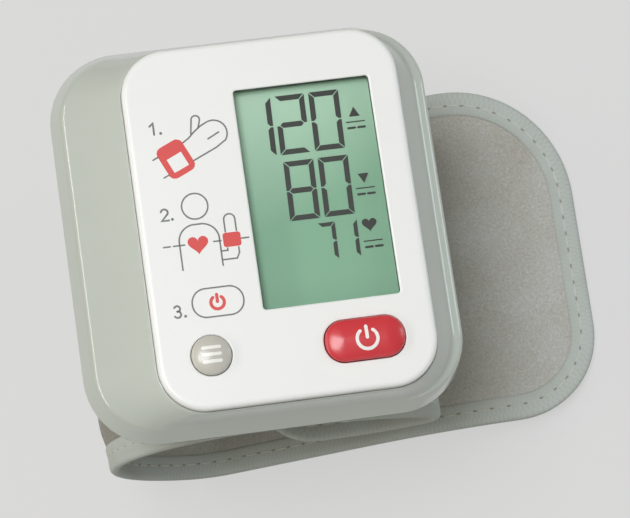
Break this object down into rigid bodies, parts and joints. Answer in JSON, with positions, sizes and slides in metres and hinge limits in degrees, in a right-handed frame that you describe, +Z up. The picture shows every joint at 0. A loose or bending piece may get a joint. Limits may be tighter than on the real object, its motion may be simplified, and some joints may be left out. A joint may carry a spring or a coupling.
{
  "type": "wrist blood pressure monitor",
  "caption": "Wrist blood pressure monitor: a display unit with push buttons and a side battery door on a sprung cloth cuff that opens round the wrist, lying on its cuff.",
  "frame": {"origin": "bottom centre of the part's box, on the surface that the cuff lies on", "axes": "+X from the cuff's closed bend towards its long end, to the right of the display; +Y up the display, along the wrist; +Z up from the surface"},
  "size_m": [0.0958, 0.0728, 0.0865],
  "materials": {
    "panel_white": "satin white moulded plastic",
    "window_clear": "clear moulded plastic",
    "shell_grey": "fine textured light grey plastic",
    "button_red": "gloss red plastic",
    "button_grey": "gloss grey plastic",
    "lcd_green": "grey-green liquid crystal cell",
    "inner_white": "natural white moulded plastic",
    "inner_dark": "dark moulded plastic",
    "strip_rubber": "dark elastomer",
    "board_green": "coated fibreglass laminate",
    "steel": "plain bright steel",
    "contact_brass": "plated spring brass",
    "cell_jacket": "printed cell jacket, density near a dry cell's",
    "tube_clear": "translucent silicone",
    "cuff_cloth": "grey knitted cuff cloth",
    "cuff_felt": "grey brushed loop cloth",
    "cuff_tape": "grey woven edge tape",
    "plate_film": "sprung plastic sheet",
    "bladder_film": "soft plastic film"
  },
  "bodies": {
    "unit": {"front_panel": "panel_white", "display_window": "window_clear", "upper_housing": "shell_grey", "rear_housing": "shell_grey", "housing_screw_1": "steel", "housing_screw_2": "steel", "housing_screw_3": "steel", "housing_screw_4": "steel", "lcd_glass": "lcd_green", "lcd_holder": "inner_white", "elastomer_strip_lower": "strip_rubber", "elastomer_strip_upper": "strip_rubber", "power_switch_base": "inner_dark", "memory_switch_base": "inner_dark", "main_board": "board_green", "microcontroller": "inner_dark", "pressure_sensor": "inner_dark", "pump_motor": "steel", "pump_head": "inner_white", "pump_tube": "tube_clear", "air_manifold": "inner_white", "sensor_sleeve": "tube_clear", "valve_body": "inner_dark", "valve_cap": "inner_white", "valve_tube": "tube_clear", "outer_cell": "cell_jacket", "inner_cell": "cell_jacket", "outer_cell_spring": "steel", "inner_cell_spring": "steel", "bridge_contact": "contact_brass", "negative_contact": "contact_brass", "positive_contact": "contact_brass", "cuff_screw_1": "steel", "cuff_screw_2": "steel", "cuff_nipple": "inner_white", "nipple_seal": "strip_rubber", "cuff_outer_cloth": "cuff_cloth", "cuff_curl_plate": "plate_film", "cuff_bladder": "bladder_film", "cuff_inner_cloth": "cuff_felt", "cuff_binding": "cuff_tape"},
    "power_button": {"power_button": "button_red", "power_switch_plunger": "inner_white"},
    "memory_button": {"memory_button": "button_grey", "memory_switch_plunger": "inner_white"},
    "battery_door": {"battery_door": "shell_grey"},
    "pump_rotor": {"pump_shaft": "steel"},
    "valve_core": {"valve_plunger": "steel"},
    "cuff_strap": {"strap_outer_cloth": "cuff_cloth", "strap_curl_plate": "plate_film", "strap_bladder": "bladder_film", "strap_inner_cloth": "cuff_felt", "strap_binding": "cuff_tape", "closing_pad": "cuff_felt"}
  },
  "joints": [
    {"name": "power_press", "type": "slide", "parent": "unit", "child": "power_button", "axis": [-0.3191, 0, -0.9477], "range_m": [0, 0.0005], "stiffness_N_per_m": 900},
    {"name": "memory_press", "type": "slide", "parent": "unit", "child": "memory_button", "axis": [-0.3191, 0, -0.9477], "range_m": [0, 0.0005], "stiffness_N_per_m": 900},
    {"name": "battery_door_off", "type": "slide", "parent": "unit", "child": "battery_door", "axis": [-0.9477, 0, 0.3191], "range_m": [0, 0.015]},
    {"name": "pump_spin", "type": "hinge", "parent": "unit", "child": "pump_rotor", "pos_m": [-0.00234, -0.00195, 0.06243], "axis": [0, 1, 0], "continuous": true},
    {"name": "valve_stroke", "type": "slide", "parent": "unit", "child": "valve_core", "axis": [0, -1, 0], "range_m": [0, 0.0008], "stiffness_N_per_m": 300},
    {"name": "cuff_open", "type": "hinge", "parent": "unit", "child": "cuff_strap", "pos_m": [-0.0466, 0, 0.03431], "axis": [0, 1, 0], "range_deg": [-8, 75], "stiffness_Nm_per_rad": 0.4, "springref_deg": 5.73}
  ]
}
